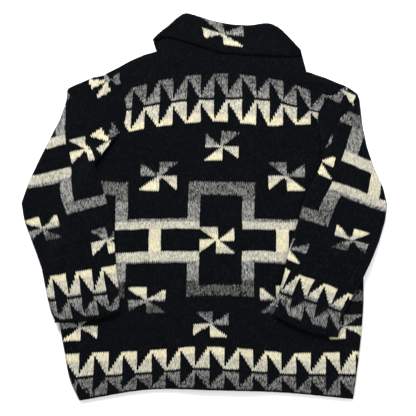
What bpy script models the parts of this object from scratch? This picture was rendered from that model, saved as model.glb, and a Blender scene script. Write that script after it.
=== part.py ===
"""A shawl-collar cardigan in a bulky two-colour knit, laid out flat with its back uppermost.

The two fronts and their bands lie on the surface, the back lies on them, and the sleeves are brought
down along the sides so that their lower halves lie on the edges of the back. Z is up, +Y runs from the
hem to the collar, and -X is the wearer's left. Each piece is one solid wall of knit.

All lengths in this file are in millimetres. The built part's origin is under the middle of its outline.
"""

import math

import bmesh
import bpy

MM = 0.001
MIDDLE = (0.5, 1.0)  # the middle of the outline in the coordinates of the tables
WALL = 4.5  # thickness of the knit
SEAM = 0.3  # between two pieces that are sewn edge to edge
LAY = 1.0  # between two layers that lie on each other
PLAIT = 4.8  # how much higher the second front band lies than the first
BAND_LAP = 18.0  # how far the second band lies on the right front
BAND_REACH = (38.0, 115.0)  # the back is lifted within the first distance of it, and not past the second
EDGE_STEPS = (0.0, 3.0, 8.0, 17.0)  # section lines close to a rounded edge
SIDE_ROUND = 16.0  # how far in from a side seam the layers start to curve together
SIDE_LEVELS = (2.2, 4.85, 5.15, 7.2)  # heights of the fronts' and the back's faces at a side seam
HEM_ROUND = 6.0
HEM_NOSE = 1.5  # how much each face of a layer is rounded off at the hem
SLEEVE_HALF = 5.0  # half the thickness of a sleeve laid flat
SLEEVE_GAP = 1.0  # between the two layers of a sleeve
SLEEVE_ROUND = 9.0  # how far in from a sleeve's edges its layers start to curve together
SLEEVE_INSET = 3.5  # from a sleeve's edge to the hollow inside it
SLEEVE_CLIMB = 46.0  # how far outside the body a sleeve starts to climb onto it
UNDERARM_CLIMB = (105.0, 168.0)  # a sleeve lies on the body below the first, beside it above the second
CUFF_NOSE = 1.5  # how much the outer face is rounded off at the cuff
CUFF_FLARE = 0.5  # how much the hollow opens there
BUTTON = {"radius": 12.5, "thick": 3.6, "rim": 1.0, "spacing": 92.0, "lowest": -340.0, "count": 5}

# The body's knit rows, numbered from the hem. The heights are at the left edge, three points between and
# the right edge. Above row 147 the edges are the armhole seams.
BODY_COLUMNS = ("row", "left_x", "left_y", "right_x", "right_y", "quarter_y", "middle_y", "three_quarter_y")
BODY = (
    (0, -252, -391, 302, -388, -369, -370, -375),
    (15, -272, -346, 309, -338, -333, -325, -337),
    (30, -282, -295, 315, -290, -288, -279, -293),
    (47, -291, -241, 320, -239, -232, -228, -236),
    (64, -292, -188, 323, -188, -180, -176, -180),
    (85, -286, -119, 322, -119, -110, -109, -110),
    (107, -274, -50, 314, -50, -42, -42, -42),
    (124, -256, 11, 298, 7, 7, 9, 7),
    (138, -235, 58, 278, 52, 52, 55, 52),
    (147, -221, 86, 264, 82, 81, 84, 81),
    (163, -180, 143, 238, 137, 125, 131, 125),
    (177, -156, 170, 231, 170, 168, 177, 168),
    (193, -158, 218, 235, 210, 217, 223, 217),
    (209, -177, 251, 260, 233, 266, 273, 262),
)
UNDERARM_ROW = 147
LAST_ROW = 209
SHOULDER_ROW = 222
# The back's top edge from the left shoulder tip to the right one, through the two neck points: x and y.
TOP_EDGE = (
    (-199, 271), (-175, 283), (-150, 297), (-120, 310), (-97, 316), (-67, 318), (-41, 319), (-20, 315),
    (4, 307), (30, 304), (83, 303), (132, 304), (154, 294), (179, 280), (215, 273), (246, 263),
    (272, 252), (288, 246),
)
NECK_POINTS = (-97.0, 215.0)
BACK_SPACING = (590, 19)  # the width to space section lines over, and how many steps between the close ones
BODY_ROWS = (0, 1, 2.7, 5.5, 12, 20, 30, 39, 48, 57, 66, 75, 85, 95, 105, 115, 125, 133, 140, 144.5)
ARMHOLE_ROWS = (147, 148, 149.6, 153, 160, 168, 177, 187, 198, 209, 214, 217.5, 220, 222)

# The edges of the two fronts at the opening, from the hem up to the V and on to the neck points: y and x.
OPENING_LEFT = ((-391, 6), (-176, 8), (5, 12), (316, -97))
OPENING_RIGHT = ((-391, 47), (-176, 49), (5, 53), (273, 215))
BAND_WIDTH = 40.0
BAND_HEIGHTS = (3, 8, 40, 90, 140, 200, 260, 320, 365, 372, 385, 430, 480, 530, 580)  # above the hem
BAND_TOPS = (665.0, 628.0)

# Each sleeve from its seam to its cuff: the outer edge's x and y, the inner edge's x and y, how far the
# ring bows towards the cuff, and how much the fold under the shoulder lifts the upper layer there.
SLEEVE_LEFT = (
    (-215, 268, -222.5, 85.6, 4, 0),
    (-238, 258, -223.2, 85, 12, 0),
    (-260, 249, -223.6, 84.2, 12, 0),
    (-274, 242, -223.6, 83.4, 11, 0),
    (-277, 240, -223.2, 82.4, 10, 5),
    (-279, 216, -222.6, 80.4, 6, 4.5),
    (-292, 178, -220.4, 76, 2, 3.5),
    (-313, 138, -213.5, 66, 0, 2.5),
    (-335, 94, -209, 56, 0, 1.5),
    (-355, 52, -206, 44, 0, 1),
    (-370, 9, -201, 27, 0, 0),
    (-364, -27, -196, 9, 0, 0),
    (-351, -62, -188, -17, 0, 0),
    (-339, -94, -182, -50, 0, 0),
    (-329, -123, -180, -86, 0, 0),
    (-323, -153, -177, -121, 1, 0),
    (-316, -186, -173, -159, 3, 0),
    (-309, -212, -171, -188, 6, 0),
    (-303, -225, -171, -204, 7, 0),
    (-300, -231, -172, -210, 8, 0),
)
SLEEVE_RIGHT = (
    (300, 239, 266, 81.4, -8, 0),
    (311, 230, 266.6, 80.6, -4, 0),
    (314.5, 223, 266.9, 79.8, -2, 0),
    (315, 219, 266.9, 79, 0, 5),
    (317, 200, 266.4, 77.8, 0, 5),
    (321, 166, 265.8, 76.6, 0, 4),
    (330, 123, 264.4, 75.2, 0, 3),
    (344, 82, 261, 72, 0, 2),
    (354, 60, 236, 63, 0, 1.5),
    (363, 40, 218, 48, 0, 1),
    (371, 7, 208, 29, 0, 0),
    (367, -27, 199, 3, 0, 0),
    (355, -68, 190, -29, 0, 0),
    (339, -107, 178, -66, 0, 0),
    (321, -144, 168, -98, 0, 0),
    (302, -176, 164, -127, 1, 0),
    (287, -206, 155, -161, 3, 0),
    (278, -232, 147, -190, 6, 0),
    (273, -254, 143, -210, 7, 0),
    (271, -261, 142, -217, 8, 0),
)
CREASE_OVERLAP = 1.2  # how far the fold under the shoulder reaches over the cap

# The collar from its left end to its right: the neck seam, the fold along the top and the free edge.
COLLAR_COLUMNS = ("seam_x", "seam_y", "fold_x", "fold_y", "free_x", "free_y")
COLLAR = (
    (-97, 316, -105, 340, -94, 344),
    (-81, 317, -89, 356, -81, 346),
    (-67, 318, -71, 370, -65, 344),
    (-45, 319, -53, 386, -47, 339),
    (-24, 316, -37, 394, -28, 333),
    (-2, 309, -14, 389, -2, 325),
    (30, 304, 18, 379, 28, 316),
    (63, 303, 55, 372, 61, 312),
    (97, 303, 93, 370, 97, 310),
    (130, 304, 128, 374, 130, 308),
    (154, 294, 152, 365, 154, 307),
    (177, 281, 175, 343, 173, 306),
    (207, 274, 196, 320, 187, 306),
)
COLLAR_SINK = 70.0  # the collar reaches the surface this far from its seam
COLLAR_ROLL = 3.4  # the hollow inside the collar's fold

# The largest soft folds on the upper side: from x and y to x and y, how far the middle bows to the left
# of that way, the width to each side and the height.
FOLDS = (
    (0, -228, 135, -289, -12, 34, 2.2),
    (-25, -128, 28, -160, 6, 30, 1.6),
    (140, 143, 208, 105, 6, 28, 2.0),
    (-160, 128, -72, 150, 10, 30, 2.0),
    (-85, 293, -40, 300, 0, 26, 2.0),
    (135, 285, 236, 246, 0, 30, 3.0),
    (-60, 262, 130, 262, 14, 40, 1.5),
    (-230, -310, -60, -306, 8, 36, 1.5),
    (60, -318, 280, -312, 8, 36, 1.8),
)


def eased(t):
    """0 below 0 and 1 above 1, with a smooth way between."""
    t = min(max(t, 0.0), 1.0)
    return t * t * (3 - 2 * t)


def rounding(distance, radius):
    """The height of a quarter circle, as a share of its radius, at a distance from its foot."""
    t = 1 - min(max(distance / radius, 0.0), 1.0)
    return math.sqrt(1 - t * t)


def mix(a, b, t):
    return a + (b - a) * t


def smooth(keys, values, at):
    """A smooth curve through values at rising keys, read at one place."""
    last = len(keys) - 1
    at = min(max(at, keys[0]), keys[last])
    i = next((k for k in range(last) if at <= keys[k + 1]), last - 1)

    def slope(k):
        a, b = max(k - 1, 0), min(k + 1, last)
        return (values[b] - values[a]) / (keys[b] - keys[a])

    step = keys[i + 1] - keys[i]
    t = (at - keys[i]) / step
    start, end = values[i], values[i + 1]
    out, into = slope(i) * step, slope(i + 1) * step
    return (
        start * (2 * t**3 - 3 * t**2 + 1)
        + out * (t**3 - 2 * t**2 + t)
        + end * (3 * t**2 - 2 * t**3)
        + into * (t**3 - t**2)
    )


def read(table, key, name, columns, at):
    """A named column of a table at a value of its key column."""
    keys = [row[columns.index(key)] for row in table]
    return smooth(keys, [row[columns.index(name)] for row in table], at)


def straight(points, x):
    """The height of a line of (x, y) points at x."""
    for (x0, y0), (x1, y1) in zip(points, points[1:]):
        if x <= x1:
            break
    return mix(y0, y1, (x - x0) / (x1 - x0))


def body_row(row, u):
    """The place in plan at u, from 0 at the left edge to 1 at the right one, of a knit row up to LAST_ROW."""
    at = {name: read(BODY, "row", name, BODY_COLUMNS, row) for name in BODY_COLUMNS[1:]}
    heights = [at[name] for name in ("left_y", "quarter_y", "middle_y", "three_quarter_y", "right_y")]
    return mix(at["left_x"], at["right_x"], u), smooth((0, 0.25, 0.5, 0.75, 1), heights, u)


def body_place(row, u):
    """As body_row, and above LAST_ROW the rows turn into the shoulder line and the neck edge."""
    x, y = body_row(min(row, LAST_ROW), u)
    if row <= LAST_ROW:
        return x, y
    top_x = mix(TOP_EDGE[0][0], TOP_EDGE[-1][0], u)
    share = (row - LAST_ROW) / (SHOULDER_ROW - LAST_ROW)
    return mix(x, top_x, share), mix(y, straight(TOP_EDGE, top_x), share)


SIDE_TABLE = [(body_place(row, 0), body_place(row, 1)) for row in BODY_ROWS + ARMHOLE_ROWS]


def side_x(y, side):
    """Where the body's left edge (side 0) or right edge (side 1) is at a height in plan."""
    points = sorted((ends[side][1], ends[side][0]) for ends in SIDE_TABLE)
    return straight(points, min(max(y, points[0][0]), points[-1][0]))


def opening_x(y, side):
    """Where the left front (side 0) or the right front (side 1) ends at the opening."""
    line = (OPENING_LEFT, OPENING_RIGHT)[side]
    return straight(line, min(max(y, line[0][0]), line[-1][0]))


def band_lift(x, y):
    """How much the second band, lying on the first, lifts the back over it."""
    away = abs(x - (opening_x(y, 1) + (BAND_LAP - BAND_WIDTH) / 2))
    return PLAIT * (1 - eased((away - BAND_REACH[0]) / (BAND_REACH[1] - BAND_REACH[0])))


def fold_height(x, y):
    total = 0.0
    for x0, y0, x1, y1, bow, width, height in FOLDS:
        along_x, along_y = x1 - x0, y1 - y0
        length = math.hypot(along_x, along_y)
        t = ((x - x0) * along_x + (y - y0) * along_y) / length**2
        across = ((y - y0) * along_x - (x - x0) * along_y) / length - bow * 4 * t * (1 - t)
        if 0 < t < 1 and abs(across) < width:
            total += height * math.cos(across / width * math.pi / 2) ** 2 * math.sin(math.pi * t)
    return total


def closing(row, x, y, left_x, right_x, top_y):
    """1 inside the body, and falling to 0 at its side seams and shoulder seams."""
    seamed = 1 - eased((row - UNDERARM_ROW) / 5)
    side = 1 - seamed * (1 - rounding(min(x - left_x, right_x - x), SIDE_ROUND))
    shoulder = max(eased((NECK_POINTS[0] - x) / 12), eased((x - NECK_POINTS[1]) / 12))
    return side * (1 - shoulder * (1 - rounding(top_y - y, SIDE_ROUND)))


def layers(row, x, y):
    """The heights of the fronts' lower and upper face and the back's lower and upper face at a place."""
    left_x, right_x = side_x(y, 0), side_x(y, 1)
    inside = min(max(x, TOP_EDGE[0][0]), TOP_EDGE[-1][0])
    k = closing(row, x, y, left_x, right_x, straight(TOP_EDGE, inside))
    lift = band_lift(x, y)
    flat = (0, WALL, WALL + LAY + lift, WALL + LAY + lift + WALL + fold_height(x, y))
    bottom, front, back, top = (mix(seam, level, k) for seam, level in zip(SIDE_LEVELS, flat))
    nose = HEM_NOSE * (1 - rounding(row * 3, HEM_ROUND))
    return bottom + nose, front - nose, back + nose, top - nose


def material(name, colour, roughness):
    made = bpy.data.materials.new(name)
    made.use_nodes = True
    surface = made.node_tree.nodes["Principled BSDF"]
    surface.inputs["Base Color"].default_value = (*colour, 1)
    surface.inputs["Roughness"].default_value = roughness
    return made


def add(name, mesh, finish):
    part = bpy.data.objects.new(name, mesh)
    bpy.context.scene.collection.objects.link(part)
    mesh.materials.append(finish)
    return part


def in_metres(x, y, z):
    return (x - MIDDLE[0]) * MM, (y - MIDDLE[1]) * MM, z * MM


def face_outwards(bm):
    bmesh.ops.recalc_face_normals(bm, faces=bm.faces)
    if bm.calc_volume(signed=True) < 0:
        bmesh.ops.reverse_faces(bm, faces=bm.faces)


def wall(name, rows, columns, place, finish, tube=False):
    """One closed wall: place(k, j, face) puts section line k's point j on its outer or its inner face.

    On a tube, the last column is the first one again, and the wall is open only at its two ends.
    """
    bm = bmesh.new()
    bmesh.ops.create_grid(bm, x_segments=columns - 1, y_segments=rows - 1, size=0.5)
    for vert in bm.verts:
        vert.co.x = round((vert.co.x + 0.5) * (columns - 1))
        vert.co.y = round((vert.co.y + 0.5) * (rows - 1))
    outer = bmesh.ops.extrude_face_region(bm, geom=bm.faces[:])["geom"]
    for vert in outer:
        if isinstance(vert, bmesh.types.BMVert):
            vert.co.z = 1
    if tube:
        closed = [
            face
            for face in bm.faces
            if all(v.co.x < 0.5 for v in face.verts) or all(v.co.x > columns - 1.5 for v in face.verts)
        ]
        bmesh.ops.delete(bm, geom=closed, context="FACES")
    for vert in bm.verts:
        j, k, face = (round(value) for value in vert.co)
        vert.co = in_metres(*place(k, j, face))
    bmesh.ops.remove_doubles(bm, verts=bm.verts, dist=1e-6)
    face_outwards(bm)
    mesh = bpy.data.meshes.new(name)
    bm.to_mesh(mesh)
    bm.free()
    mesh.shade_smooth()
    mesh.set_sharp_from_angle(angle=math.radians(50))
    return add(name, mesh, finish)


def spaced(width, middle, start=True, end=True):
    """Shares from 0 to 1 of a width, with close steps at an edge that is rounded."""
    low = [step / width for step in (EDGE_STEPS if start else (0.0,))]
    high = [1 - step / width for step in reversed(EDGE_STEPS if end else (0.0,))]
    inner = [mix(low[-1], high[0], i / middle) for i in range(1, middle)]
    return low + inner + high


def make_back(finish):
    rows = BODY_ROWS + ARMHOLE_ROWS
    shares = spaced(*BACK_SPACING)

    def place(k, j, face):
        x, y = body_place(rows[k], shares[j])
        return x, y, layers(rows[k], x, y)[2 + face]

    wall("back", len(rows), len(shares), place, finish)


def make_front(name, side, finish):
    rows = BODY_ROWS + ARMHOLE_ROWS
    shares = spaced(280, 8, start=side == 0, end=side == 1)

    def place(k, j, face):
        row = rows[k]
        edge_x, edge_y = body_place(row, side)
        share = shares[j] if side == 0 else 1 - shares[j]
        low_y = body_place(min(row, UNDERARM_ROW), 0.5)[1]
        climb = max(0.0, (row - UNDERARM_ROW) / (SHOULDER_ROW - UNDERARM_ROW))
        open_y = mix(low_y, straight(TOP_EDGE, NECK_POINTS[side]), climb)
        open_x = opening_x(open_y, side) + (-SEAM if side == 0 else SEAM) / 2
        x = mix(edge_x, open_x, share)
        if row < UNDERARM_ROW:
            left_x, right_x = body_place(row, 0)[0], body_place(row, 1)[0]
            y = body_place(row, (x - left_x) / (right_x - left_x))[1]
        else:
            y = mix(edge_y, open_y, share)
        if row > LAST_ROW:
            tip_x, tip_y = body_place(SHOULDER_ROW, side)
            neck_x = NECK_POINTS[side]
            chord = mix(tip_y, straight(TOP_EDGE, neck_x), share)
            rise = straight(TOP_EDGE, mix(tip_x, neck_x, share)) - chord
            y += rise * (row - LAST_ROW) / (SHOULDER_ROW - LAST_ROW)
        return x, y, layers(row, x, y)[face]

    wall(name, len(rows), len(shares), place, finish)


def sleeve_rings(side):
    """The rings, each with its places from the inner edge to the outer one and its lift."""
    table = (SLEEVE_LEFT, SLEEVE_RIGHT)[side]
    seam = [body_place(row, side) for row in ARMHOLE_ROWS]
    lengths = [0.0]
    for a, b in zip(seam, seam[1:]):
        lengths.append(lengths[-1] + math.dist(a, b))
    shares = [length / lengths[-1] for length in lengths]
    out = -1 if side == 0 else 1
    first = []
    for k, (x, y) in enumerate(seam):
        a, b = seam[max(k - 1, 0)], seam[min(k + 1, len(seam) - 1)]
        run = math.dist(a, b)
        first.append((x + out * SEAM * (b[1] - a[1]) / run, y - out * SEAM * (b[0] - a[0]) / run))
    rings = [(first, 0.0)]
    bend = [
        (x - mix(first[0][0], first[-1][0], t), y - mix(first[0][1], first[-1][1], t))
        for (x, y), t in zip(first, shares)
    ]
    crease = next(k for k, row in enumerate(table) if row[5] > 0)
    for k, (outer_x, outer_y, inner_x, inner_y, bow, lift) in enumerate(table):
        kept = (max(0.0, 1 - (k + 1) / (crease + 1))) ** 1.2
        run = math.dist((outer_x, outer_y), (inner_x, inner_y))
        down = ((outer_y - inner_y) / run, (inner_x - outer_x) / run)
        if down[1] > 0:
            down = (-down[0], -down[1])
        ring = []
        for (bend_x, bend_y), t in zip(bend, shares):
            sag = bow * 4 * t * (1 - t)
            ring.append(
                (
                    mix(inner_x, outer_x, t) + bend_x * kept + down[0] * sag,
                    mix(inner_y, outer_y, t) + bend_y * kept + down[1] * sag,
                )
            )
        rings.append((ring, lift))
    return rings, shares


def sleeve_rest(x, y, side):
    """The height of what a sleeve lies on: the surface, or the back with a gradual climb onto it."""
    edge = side_x(y, side)
    outside = edge - x if side == 0 else x - edge
    climb = 1 - eased((outside - 3) / (SLEEVE_CLIMB - 3))
    low, high = UNDERARM_CLIMB
    beside = 1 - eased((y - low) / (high - low))
    return climb * beside * (WALL + LAY + band_lift(x, y) + WALL + LAY)


def make_sleeve(name, side, finish):
    rings, shares = sleeve_rings(side)
    points = len(shares)
    crease = next(k for k, (_, lift) in enumerate(rings) if lift > 0)

    def place(k, j, face):
        ring, lift = rings[k]
        upper = j < points
        at = j if upper else 2 * points - 2 - j
        width = math.dist(ring[0], ring[-1])
        t = shares[at]
        inset = 0.0 if face else SLEEVE_INSET / width
        x, y = on_ring(ring, shares, mix(inset, 1 - inset, t))
        rest = sleeve_rest(x, y, side)
        half = SLEEVE_HALF if face else SLEEVE_GAP / 2
        round_off = rounding(min(t, 1 - t) * width, SLEEVE_ROUND if face else half)
        if k == len(rings) - 1:
            half += -CUFF_NOSE if face else CUFF_FLARE
        z = rest + SLEEVE_HALF + (half * round_off if upper else -half * round_off)
        if face and upper and 0 < at < points - 1:
            z += lift * round_off * eased(0.5 + t * 2)
            if k == crease:
                before_x, before_y = rings[k - 1][0][at]
                away = math.dist((before_x, before_y), (x, y))
                x = before_x + (before_x - x) / away * CREASE_OVERLAP
                y = before_y + (before_y - y) / away * CREASE_OVERLAP
        return x, y, z

    wall(name, len(rings), 2 * points - 1, place, finish, tube=True)


def on_ring(ring, shares, share):
    """The place on a ring at a share of its width."""
    i = next((k for k in range(len(shares) - 1) if share <= shares[k + 1]), len(shares) - 2)
    t = (share - shares[i]) / (shares[i + 1] - shares[i])
    return mix(ring[i][0], ring[i + 1][0], t), mix(ring[i][1], ring[i + 1][1], t)


def make_collar(finish):
    """The shawl collar behind the neck: the stand rises from the seam, folds over and falls back."""
    neck = [body_place(SHOULDER_ROW, share) for share in spaced(*BACK_SPACING)]
    ends = (COLLAR[0][0] + 1.0, float(COLLAR[-1][0]))
    inner = [x for x, _ in neck if ends[0] + 4 < x < ends[1] - 4]
    halves = [(a + b) / 2 for a, b in zip([ends[0]] + inner, inner + [ends[1]])]
    stations = sorted([*ends, *inner, *halves])
    stand = (0.0, 0.12, 0.35, 0.6, 0.8, 0.92)
    turn = (-60, -20, 20, 60)
    fall = tuple(reversed(stand))

    def place(k, j, face):
        seam_x = stations[k]
        seam_y = straight(neck, seam_x)
        fold_x, fold_y, free_x, free_y = (
            read(COLLAR, "seam_x", name, COLLAR_COLUMNS, seam_x) for name in COLLAR_COLUMNS[2:]
        )
        length = math.dist((seam_x, seam_y), (fold_x, fold_y))
        out_x, out_y = (fold_x - seam_x) / length, (fold_y - seam_y) / length
        level = WALL + LAY + band_lift(seam_x, seam_y)
        sunk = level * (1 - eased(length / COLLAR_SINK))
        hollow = COLLAR_ROLL * min(1.0, length / 60)
        reach = WALL + hollow / 2
        middle = sunk + reach
        radius = reach if face else hollow / 2
        seam_gap = SEAM + 0.2
        if j < len(stand):
            t = stand[j]
            z = mix(level, sunk, eased(t)) + (0 if face else WALL)
            start_x, start_y = seam_x + out_x * seam_gap, seam_y + out_y * seam_gap
            end_x, end_y = fold_x - out_x * reach, fold_y - out_y * reach
            z_end = middle - radius
            return mix(start_x, end_x, t), mix(start_y, end_y, t), mix(z, z_end, eased((t - 0.6) / 0.32))
        if j < len(stand) + len(turn):
            angle = math.radians(turn[j - len(stand)])
            out = radius * math.cos(angle) - reach
            return fold_x + out_x * out, fold_y + out_y * out, middle + radius * math.sin(angle)
        t = fall[j - len(stand) - len(turn)]
        drop = math.dist((fold_x, fold_y), (free_x, free_y))
        to_x, to_y = (free_x - fold_x) / drop, (free_y - fold_y) / drop
        end_x, end_y = fold_x - out_x * reach, fold_y - out_y * reach
        x, y = mix(free_x, end_x, t), mix(free_y, end_y, t)
        under = mix(level, sunk, eased(((x - seam_x) * out_x + (y - seam_y) * out_y) / length))
        lies = under + WALL + LAY + 0.2 + (WALL if face else 0)
        nose = HEM_NOSE * (1 if face else -0.6) * (t == 0)
        return x, y, mix(lies - nose, middle + radius, eased(t / 0.92))

    wall("collar", len(stations), len(stand) + len(turn) + len(fall), place, finish)


def make_band(name, side, finish):
    """A plain band along one front's opening, from the hem up the V to the neck point."""
    heights = (0, *BAND_HEIGHTS, BAND_TOPS[side])
    level, inward, lap = (0.0, 1, -SEAM / 2) if side == 0 else (PLAIT, -1, BAND_LAP)

    def place(k, j, face):
        y = body_place(0, 0.5)[1] + heights[k]
        x = opening_x(y, side) + inward * mix(-lap, BAND_WIDTH, j / 2)
        nose = HEM_NOSE * (1 - rounding(heights[k], HEM_ROUND))
        return x, y, level + (WALL - nose if face else nose)

    return wall(name, len(heights), 3, place, finish)


def turned(name, radius, height, x, y, z, finish, rim=0.0):
    """A round disc with a rounded upper and lower edge, standing on z."""
    bm = bmesh.new()
    bmesh.ops.create_circle(bm, cap_ends=True, segments=20, radius=radius * MM)
    top = bmesh.ops.extrude_face_region(bm, geom=bm.faces[:])["geom"]
    for vert in top:
        if isinstance(vert, bmesh.types.BMVert):
            vert.co.z += height * MM
    bmesh.ops.translate(bm, verts=bm.verts, vec=in_metres(x, y, z))
    face_outwards(bm)
    if rim:
        edges = [edge for edge in bm.edges if len({round(v.co.z, 6) for v in edge.verts}) == 1]
        bmesh.ops.bevel(bm, geom=edges, offset=rim * MM, segments=1, profile=0.5, affect="EDGES")
    mesh = bpy.data.meshes.new(name)
    bm.to_mesh(mesh)
    bm.free()
    return add(name, mesh, finish)


def button_places():
    """The centres of the buttons along the first band."""
    for n in range(BUTTON["count"]):
        y = BUTTON["lowest"] + n * BUTTON["spacing"]
        yield n + 1, opening_x(y, 0) + BAND_WIDTH / 2, y


def seat_buttons(band, finish):
    """Each button lies in its own round hollow in the first band's outer face."""
    for n, x, y in button_places():
        radius = BUTTON["radius"] + SEAM
        cutter = turned(f"hollow_{n}", radius, BUTTON["thick"] + SEAM + 1, x, y, -1, finish)
        cutter.hide_render = True
        cutter.display_type = "WIRE"
        cut = band.modifiers.new(f"Hollow {n}", "BOOLEAN")
        cut.object = cutter
        turned(f"button_{n}", BUTTON["radius"], BUTTON["thick"], x, y, 0, finish, rim=BUTTON["rim"])


def main():
    for old in list(bpy.data.objects):
        bpy.data.objects.remove(old, do_unlink=True)
    black = (0.010, 0.011, 0.014)
    make_back(material("Knit back", black, 0.9))
    make_front("front_left", 0, material("Knit left front", black, 0.9))
    make_front("front_right", 1, material("Knit right front", black, 0.9))
    make_sleeve("sleeve_left", 0, material("Knit left sleeve", black, 0.9))
    make_sleeve("sleeve_right", 1, material("Knit right sleeve", black, 0.9))
    make_collar(material("Knit collar", black, 0.9))
    band = make_band("band_left", 0, material("Knit left band", black, 0.9))
    make_band("band_right", 1, material("Knit right band", black, 0.9))
    seat_buttons(band, material("Horn button", (0.03, 0.02, 0.015), 0.4))


main()
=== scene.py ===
"""Looks for the shawl-collar cardigan: heavy two-colour knit laid flat, back uppermost.

Every cloth piece is a lattice with two slanted cells for each knit stitch, so that colour edges are
V-shaped as on the real knit. The pattern is charted in stitches and knit rows. Lengths in the
tables are in millimetres, in the coordinates of the part's source; in_metres turns them into the frame's.
"""

import math
from functools import lru_cache

import bmesh
import bpy
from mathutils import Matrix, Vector, noise


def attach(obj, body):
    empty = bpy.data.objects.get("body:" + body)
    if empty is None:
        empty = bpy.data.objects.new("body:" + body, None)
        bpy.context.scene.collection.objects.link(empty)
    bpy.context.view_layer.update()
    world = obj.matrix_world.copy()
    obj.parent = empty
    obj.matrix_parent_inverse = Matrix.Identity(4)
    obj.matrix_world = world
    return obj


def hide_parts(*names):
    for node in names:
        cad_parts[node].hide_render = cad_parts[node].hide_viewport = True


bl_info = {
    "name": "Cardigan looks",
    "version": (1, 0, 0),
    "blender": (4, 5, 0),
    "location": "3D View > Sidebar > Cardigan",
    "description": "Knitted pieces, buttons and studio for the laid-out cardigan",
    "category": "Object",
}

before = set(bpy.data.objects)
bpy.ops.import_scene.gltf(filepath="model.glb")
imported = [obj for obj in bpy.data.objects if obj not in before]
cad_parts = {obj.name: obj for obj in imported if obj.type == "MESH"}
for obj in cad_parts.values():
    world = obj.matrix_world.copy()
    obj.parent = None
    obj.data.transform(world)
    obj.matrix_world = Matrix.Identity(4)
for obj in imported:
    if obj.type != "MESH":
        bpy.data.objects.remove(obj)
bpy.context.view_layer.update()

MM = 0.001
MIDDLE = (0.5, 1.0)
WALL = 4.5
SEAM = 0.3
LAY = 1.0
PLAIT = 4.8
BAND_LAP = 18.0
BAND_REACH = (38.0, 115.0)
SIDE_ROUND = 16.0
SIDE_LEVELS = (2.2, 4.85, 5.15, 7.2)
HEM_ROUND = 6.0
HEM_NOSE = 1.5
SLEEVE_HALF = 5.0
SLEEVE_ROUND = 9.0
SLEEVE_INSET = 3.5
SLEEVE_CLIMB = 46.0
UNDERARM_CLIMB = (105.0, 168.0)
CUFF_NOSE = 1.5
BUTTON = {"radius": 12.5, "thick": 3.6, "spacing": 92.0, "lowest": -340.0, "count": 5}
ROW_HEIGHT = 3.1
STITCH = 4.0
# How many rows the middle of a stitch hangs below its sides, and how uneven the stitches are in plan.
DROP = 1.3
JITTER = 0.32
# How much further the cloth runs round a side seam than its plan shows.
SIDE_CURL = 1.6
# How far the hem's turned edge comes in below its first row.
HEM_TUCK = 0.6
# How deep the cloth sinks at an armhole seam, and over what width.
ARMHOLE_SINK = 1.3
ARMHOLE_SINK_WIDTH = 7.0
# How far a button's holes are from its middle, their radius, and the height of the thread over them.
BUTTON_HOLE_OUT = 1.9
BUTTON_HOLE_RADIUS = 1.15
THREAD_HEIGHT = 1.05
# The stage: each lamp's name, place, size and power, the sky's strength and the middle of the view.
LAMPS = (
    ("Key light", (-0.8, 2.6, 2.2), 1.4, 215),
    ("Fill light", (2.1, -0.8, 2.4), 2.2, 60),
)
SKY_STRENGTH = 0.58
VIEW_MIDDLE = (0.0076, -0.0020)

# The body's knit rows from the hem, and the height of each at five places from the left edge.
BODY_COLUMNS = ("row", "left_x", "left_y", "right_x", "right_y", "quarter_y", "middle_y", "three_quarter_y")
BODY = (
    (0, -252, -391, 302, -388, -369, -370, -375),
    (15, -272, -346, 309, -338, -333, -325, -337),
    (30, -282, -295, 315, -290, -288, -279, -293),
    (47, -291, -241, 320, -239, -232, -228, -236),
    (64, -292, -188, 323, -188, -180, -176, -180),
    (85, -286, -119, 322, -119, -110, -109, -110),
    (107, -274, -50, 314, -50, -42, -42, -42),
    (124, -256, 11, 298, 7, 7, 9, 7),
    (138, -235, 58, 278, 52, 52, 55, 52),
    (147, -221, 86, 264, 82, 81, 84, 81),
    (163, -196, 121, 238, 137, 125, 131, 125),
    (177, -169, 153, 231, 170, 168, 177, 169),
    (193, -157, 199, 233, 194, 217, 223, 218),
    (209, -169, 237, 253, 227, 264, 273, 260),
)
UNDERARM_ROW = 147
LAST_ROW = 209
SHOULDER_ROW = 222
TOP_EDGE = (
    (-199, 271), (-175, 283), (-150, 297), (-120, 310), (-97, 316), (-67, 318), (-41, 319), (-20, 315),
    (4, 307), (30, 304), (83, 303), (132, 304), (154, 294), (179, 280), (215, 273), (246, 263),
    (272, 252), (288, 246),
)
NECK_POINTS = (-97.0, 215.0)
BODY_ROWS = (0, 1, 2.7, 5.5, 12, 20, 30, 39, 48, 57, 66, 75, 85, 95, 105, 115, 125, 133, 140, 144.5)
ARMHOLE_ROWS = (
    147, 148, 149.6, 153, 160, 168, 172.5, 177, 182, 187, 190, 193, 196, 199, 204, 209, 214, 217.5, 220, 222,
)
OPENING_LEFT = ((-391, 6), (-176, 8), (5, 12), (316, -97))
OPENING_RIGHT = ((-391, 47), (-176, 49), (5, 53), (273, 215))
BAND_WIDTH = 40.0
BAND_TOPS = (665.0, 628.0)

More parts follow.
